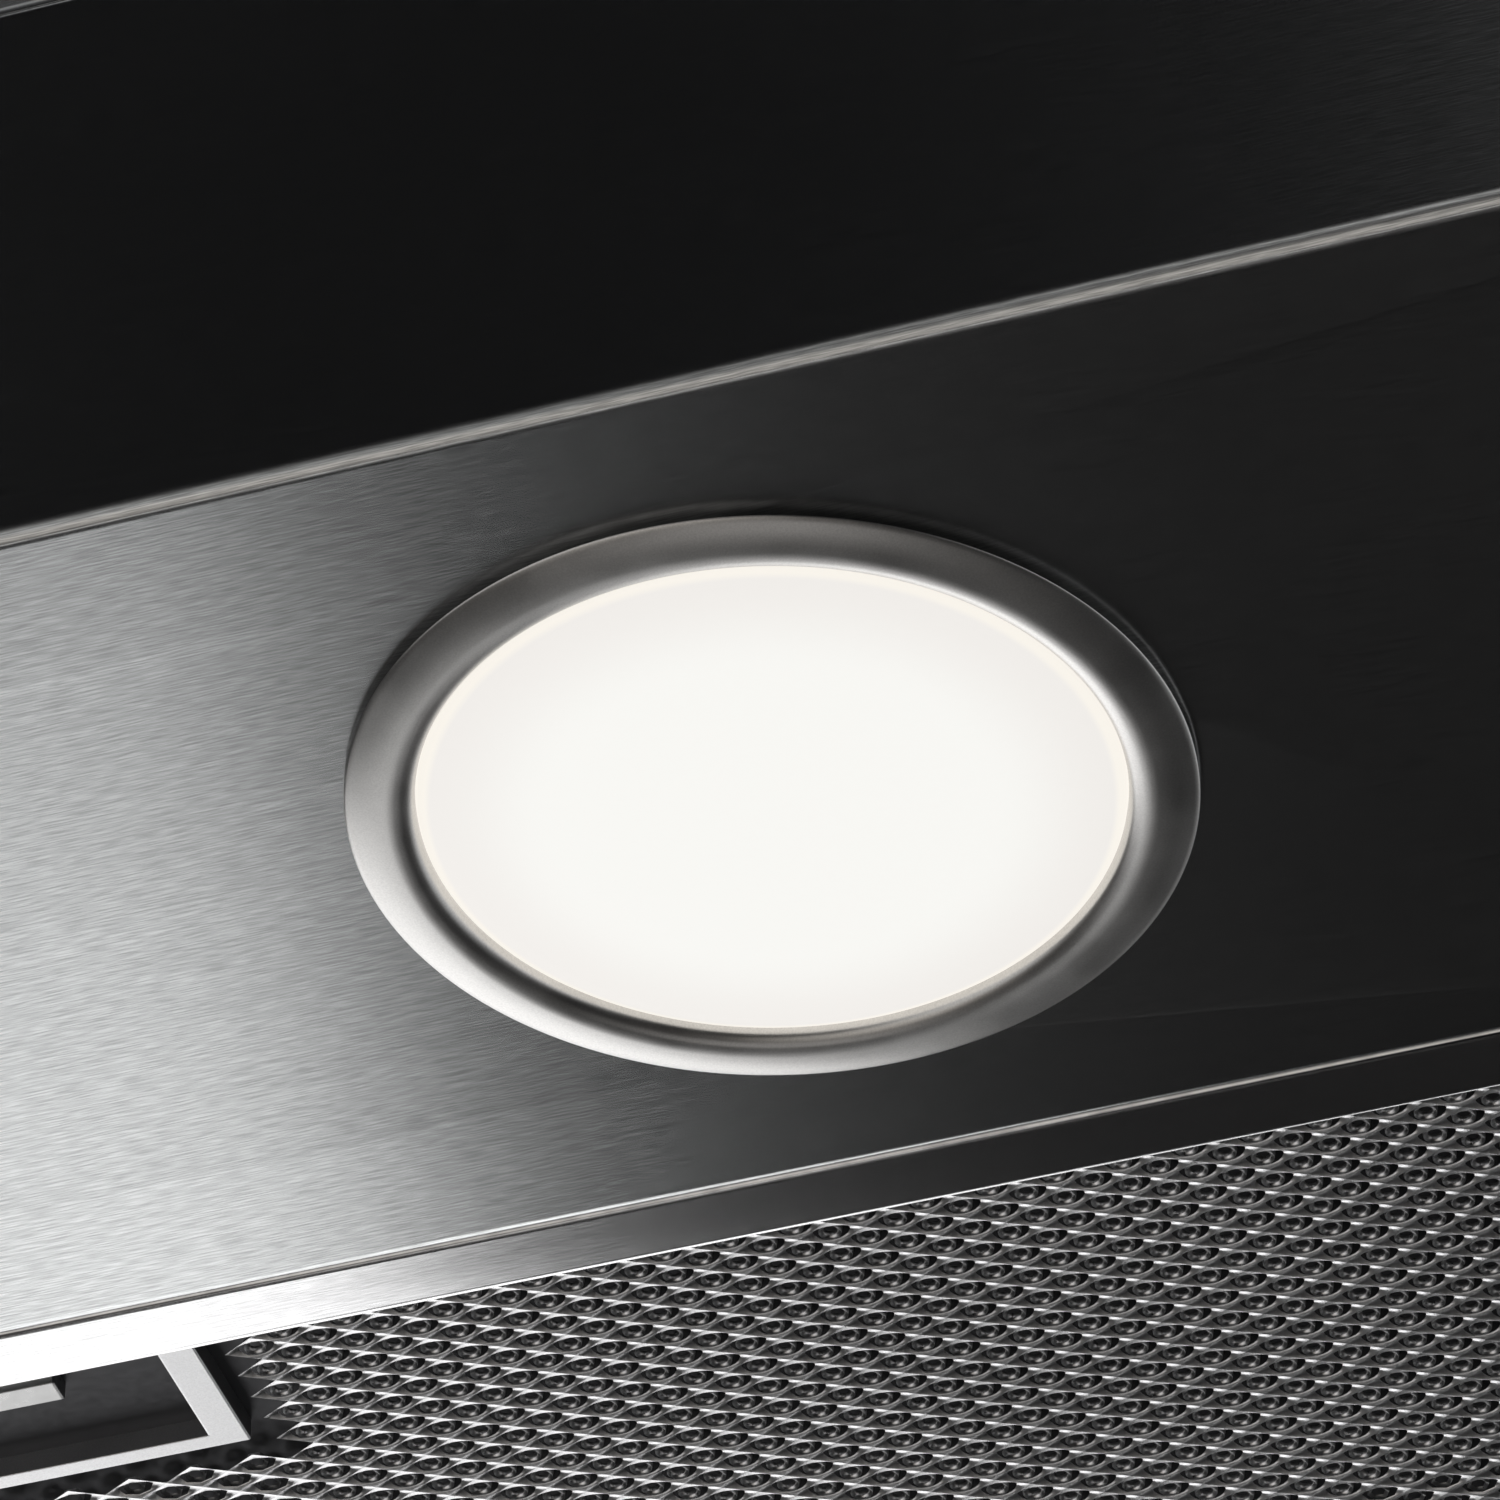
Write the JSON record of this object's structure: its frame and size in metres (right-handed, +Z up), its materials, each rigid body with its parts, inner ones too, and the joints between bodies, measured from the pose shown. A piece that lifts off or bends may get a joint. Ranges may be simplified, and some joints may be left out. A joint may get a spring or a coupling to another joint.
{
  "type": "island range hood",
  "caption": "Stainless island range hood with a sloping canopy, telescoping chimney, mesh grease filters that swing down, round puck lamps, push buttons and a ducted centrifugal blower.",
  "frame": {"origin": "centre of the ceiling plate's top face", "axes": "+Z up into the ceiling, +X along the canopy's width, -Y towards the front with the push buttons"},
  "size_m": [0.9, 0.6015, 1.0023],
  "materials": {
    "brushed_stainless": "brushed, fine grain along the folds",
    "galvanised_steel": "galvanised, dull grey",
    "bezel_steel": "satin, bead blasted",
    "frosted_lens": "frosted white, lit from behind",
    "lamp_can_alloy": "die cast, matt",
    "board": "circuit board with lacquer",
    "filter_alloy": "bright rolled aluminium",
    "blower_plastic": "moulded, fine texture",
    "motor_paint": "black enamel",
    "zinc_screw": "bright zinc plated",
    "button_metal": "fine turned",
    "box_plastic": "light grey moulded"
  },
  "bodies": {
    "hood": {"canopy_rim": "brushed_stainless", "canopy_top": "brushed_stainless", "lower_cover_front": "brushed_stainless", "lower_cover_rear": "brushed_stainless", "ceiling_plate": "galvanised_steel", "base_ring": "galvanised_steel", "upper_post_front_left": "galvanised_steel", "upper_post_rear_left": "galvanised_steel", "upper_post_front_right": "galvanised_steel", "upper_post_rear_right": "galvanised_steel", "lower_post_front_left": "galvanised_steel", "lower_post_rear_left": "galvanised_steel", "lower_post_front_right": "galvanised_steel", "lower_post_rear_right": "galvanised_steel", "frame_screws": "zinc_screw", "blower_housing": "blower_plastic", "blower_bracket_front": "galvanised_steel", "blower_bracket_rear": "galvanised_steel", "motor_bracket": "galvanised_steel", "blower_motor": "motor_paint", "duct_collar": "blower_plastic", "damper_pin": "zinc_screw", "junction_box": "box_plastic", "junction_lid": "box_plastic", "cable_gland": "blower_plastic", "control_board": "board", "lamp_bezel_front_left": "bezel_steel", "lamp_lens_front_left": "frosted_lens", "lamp_can_front_left": "lamp_can_alloy", "lamp_bezel_front_right": "bezel_steel", "lamp_lens_front_right": "frosted_lens", "lamp_can_front_right": "lamp_can_alloy", "lamp_bezel_rear_left": "bezel_steel", "lamp_lens_rear_left": "frosted_lens", "lamp_can_rear_left": "lamp_can_alloy", "lamp_bezel_rear_right": "bezel_steel", "lamp_lens_rear_right": "frosted_lens", "lamp_can_rear_right": "lamp_can_alloy", "led_boards": "board", "lamp_clips": "zinc_screw"},
    "upper_cover": {"upper_cover_front": "brushed_stainless", "upper_cover_rear": "brushed_stainless"},
    "fan": {"fan_wheel": "blower_plastic", "motor_shaft": "zinc_screw"},
    "filter_left": {"filter_frame_left": "filter_alloy", "filter_mesh_left": "filter_alloy", "filter_core_left": "filter_alloy", "catch_housing_left": "filter_alloy"},
    "catch_left": {"catch_bolt_left": "zinc_screw"},
    "filter_right": {"filter_frame_right": "filter_alloy", "filter_mesh_right": "filter_alloy", "filter_core_right": "filter_alloy", "catch_housing_right": "filter_alloy"},
    "catch_right": {"catch_bolt_right": "zinc_screw"},
    "flap_front": {"damper_flap_front": "blower_plastic"},
    "flap_rear": {"damper_flap_rear": "blower_plastic"},
    "light_button": {"button_light": "button_metal"},
    "speed_low_button": {"button_speed_low": "button_metal"},
    "speed_mid_button": {"button_speed_mid": "button_metal"},
    "speed_high_button": {"button_speed_high": "button_metal"}
  },
  "joints": [
    {"name": "upper_cover_slide", "type": "slide", "parent": "hood", "child": "upper_cover", "axis": [0, 0, 1], "range_m": [-0.25, 0]},
    {"name": "filter_left_swing", "type": "hinge", "parent": "hood", "child": "filter_left", "pos_m": [-0.194, 0.1865, -0.9973], "axis": [1, 0, 0], "range_deg": [0, 70]},
    {"name": "catch_left_slide", "type": "slide", "parent": "filter_left", "child": "catch_left", "axis": [0, 1, 0], "range_m": [0, 0.005], "stiffness_N_per_m": 600, "springref_m": -0.001},
    {"name": "filter_right_swing", "type": "hinge", "parent": "hood", "child": "filter_right", "pos_m": [0.194, 0.1865, -0.9973], "axis": [1, 0, 0], "range_deg": [0, 70]},
    {"name": "catch_right_slide", "type": "slide", "parent": "filter_right", "child": "catch_right", "axis": [0, 1, 0], "range_m": [0, 0.005], "stiffness_N_per_m": 600, "springref_m": -0.001},
    {"name": "fan_spin", "type": "hinge", "parent": "hood", "child": "fan", "pos_m": [0, 0, -0.81], "axis": [1, 0, 0], "continuous": true},
    {"name": "flap_front_swing", "type": "hinge", "parent": "hood", "child": "flap_front", "pos_m": [0, 0, -0.652], "axis": [-1, 0, 0], "range_deg": [0, 75]},
    {"name": "flap_rear_swing", "type": "hinge", "parent": "hood", "child": "flap_rear", "pos_m": [0, 0, -0.652], "axis": [1, 0, 0], "range_deg": [0, 75]},
    {"name": "light_press", "type": "slide", "parent": "hood", "child": "light_button", "axis": [0, 1, 0], "range_m": [0, 0.0012], "stiffness_N_per_m": 500, "springref_m": -0.001},
    {"name": "speed_low_press", "type": "slide", "parent": "hood", "child": "speed_low_button", "axis": [0, 1, 0], "range_m": [0, 0.0012], "stiffness_N_per_m": 500, "springref_m": -0.001},
    {"name": "speed_mid_press", "type": "slide", "parent": "hood", "child": "speed_mid_button", "axis": [0, 1, 0], "range_m": [0, 0.0012], "stiffness_N_per_m": 500, "springref_m": -0.001},
    {"name": "speed_high_press", "type": "slide", "parent": "hood", "child": "speed_high_button", "axis": [0, 1, 0], "range_m": [0, 0.0012], "stiffness_N_per_m": 500, "springref_m": -0.001}
  ],
  "couplings": [
    {"joint": "flap_rear_swing", "follows": "flap_front_swing", "ratio": 1}
  ]
}
